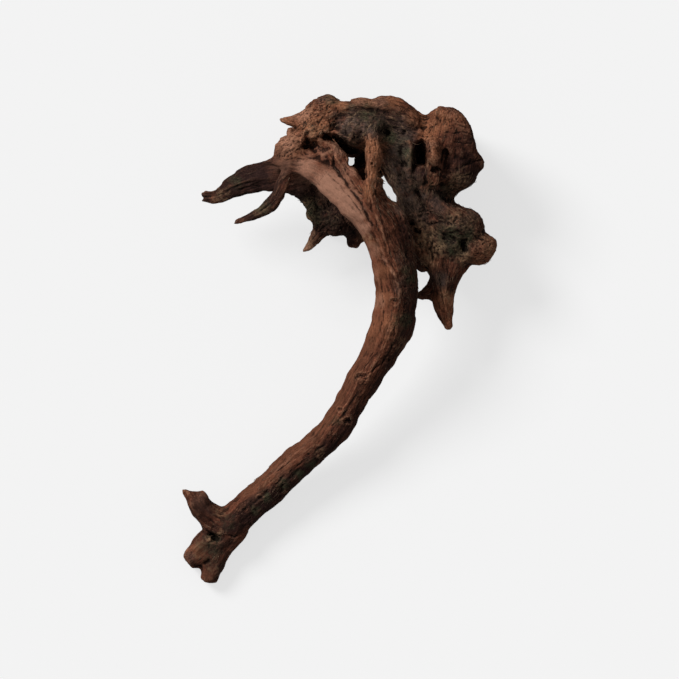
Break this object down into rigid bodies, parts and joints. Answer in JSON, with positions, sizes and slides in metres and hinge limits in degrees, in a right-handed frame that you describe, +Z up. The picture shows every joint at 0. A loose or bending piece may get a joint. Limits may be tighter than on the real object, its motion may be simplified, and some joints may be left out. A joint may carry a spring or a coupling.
{
  "type": "aquarium driftwood",
  "caption": "Gnarled reddish-brown root driftwood: a bent tapering stem between a forked foot and a knotted, hollowed root crown, lying on worn flats.",
  "frame": {"origin": "on the surface it lies on, under the middle of the piece's box", "axes": "+Y from the forked foot towards the crown, along the length; +X across it towards the right-hand lobe of the crown; +Z up, towards a viewer who looks down on it"},
  "size_m": [0.2368, 0.3674, 0.1089],
  "materials": {
    "crown_wood": "weathered, matt, bare wood",
    "stem_wood": "weathered, matt, bare wood",
    "stem_top_wood": "weathered, matt, bare wood",
    "foot_wood": "weathered, matt, bare wood",
    "foot_thumb_wood": "weathered, matt, bare wood",
    "long_left_root_wood": "weathered, matt, bare wood",
    "slim_left_root_wood": "weathered, matt, bare wood",
    "top_left_horn_wood": "weathered, matt, bare wood",
    "front_strap_wood": "weathered, matt, bare wood",
    "lower_left_root_wood": "weathered, matt, bare wood",
    "lower_right_root_wood": "weathered, matt, bare wood",
    "lower_right_leg_wood": "weathered, matt, bare wood"
  },
  "bodies": {
    "root": {"crown": "crown_wood", "stem": "stem_wood", "stem_top": "stem_top_wood", "foot": "foot_wood", "foot_thumb": "foot_thumb_wood", "long_left_root": "long_left_root_wood", "slim_left_root": "slim_left_root_wood", "top_left_horn": "top_left_horn_wood", "front_strap": "front_strap_wood", "lower_left_root": "lower_left_root_wood", "lower_right_root": "lower_right_root_wood", "lower_right_leg": "lower_right_leg_wood"}
  },
  "joints": []
}
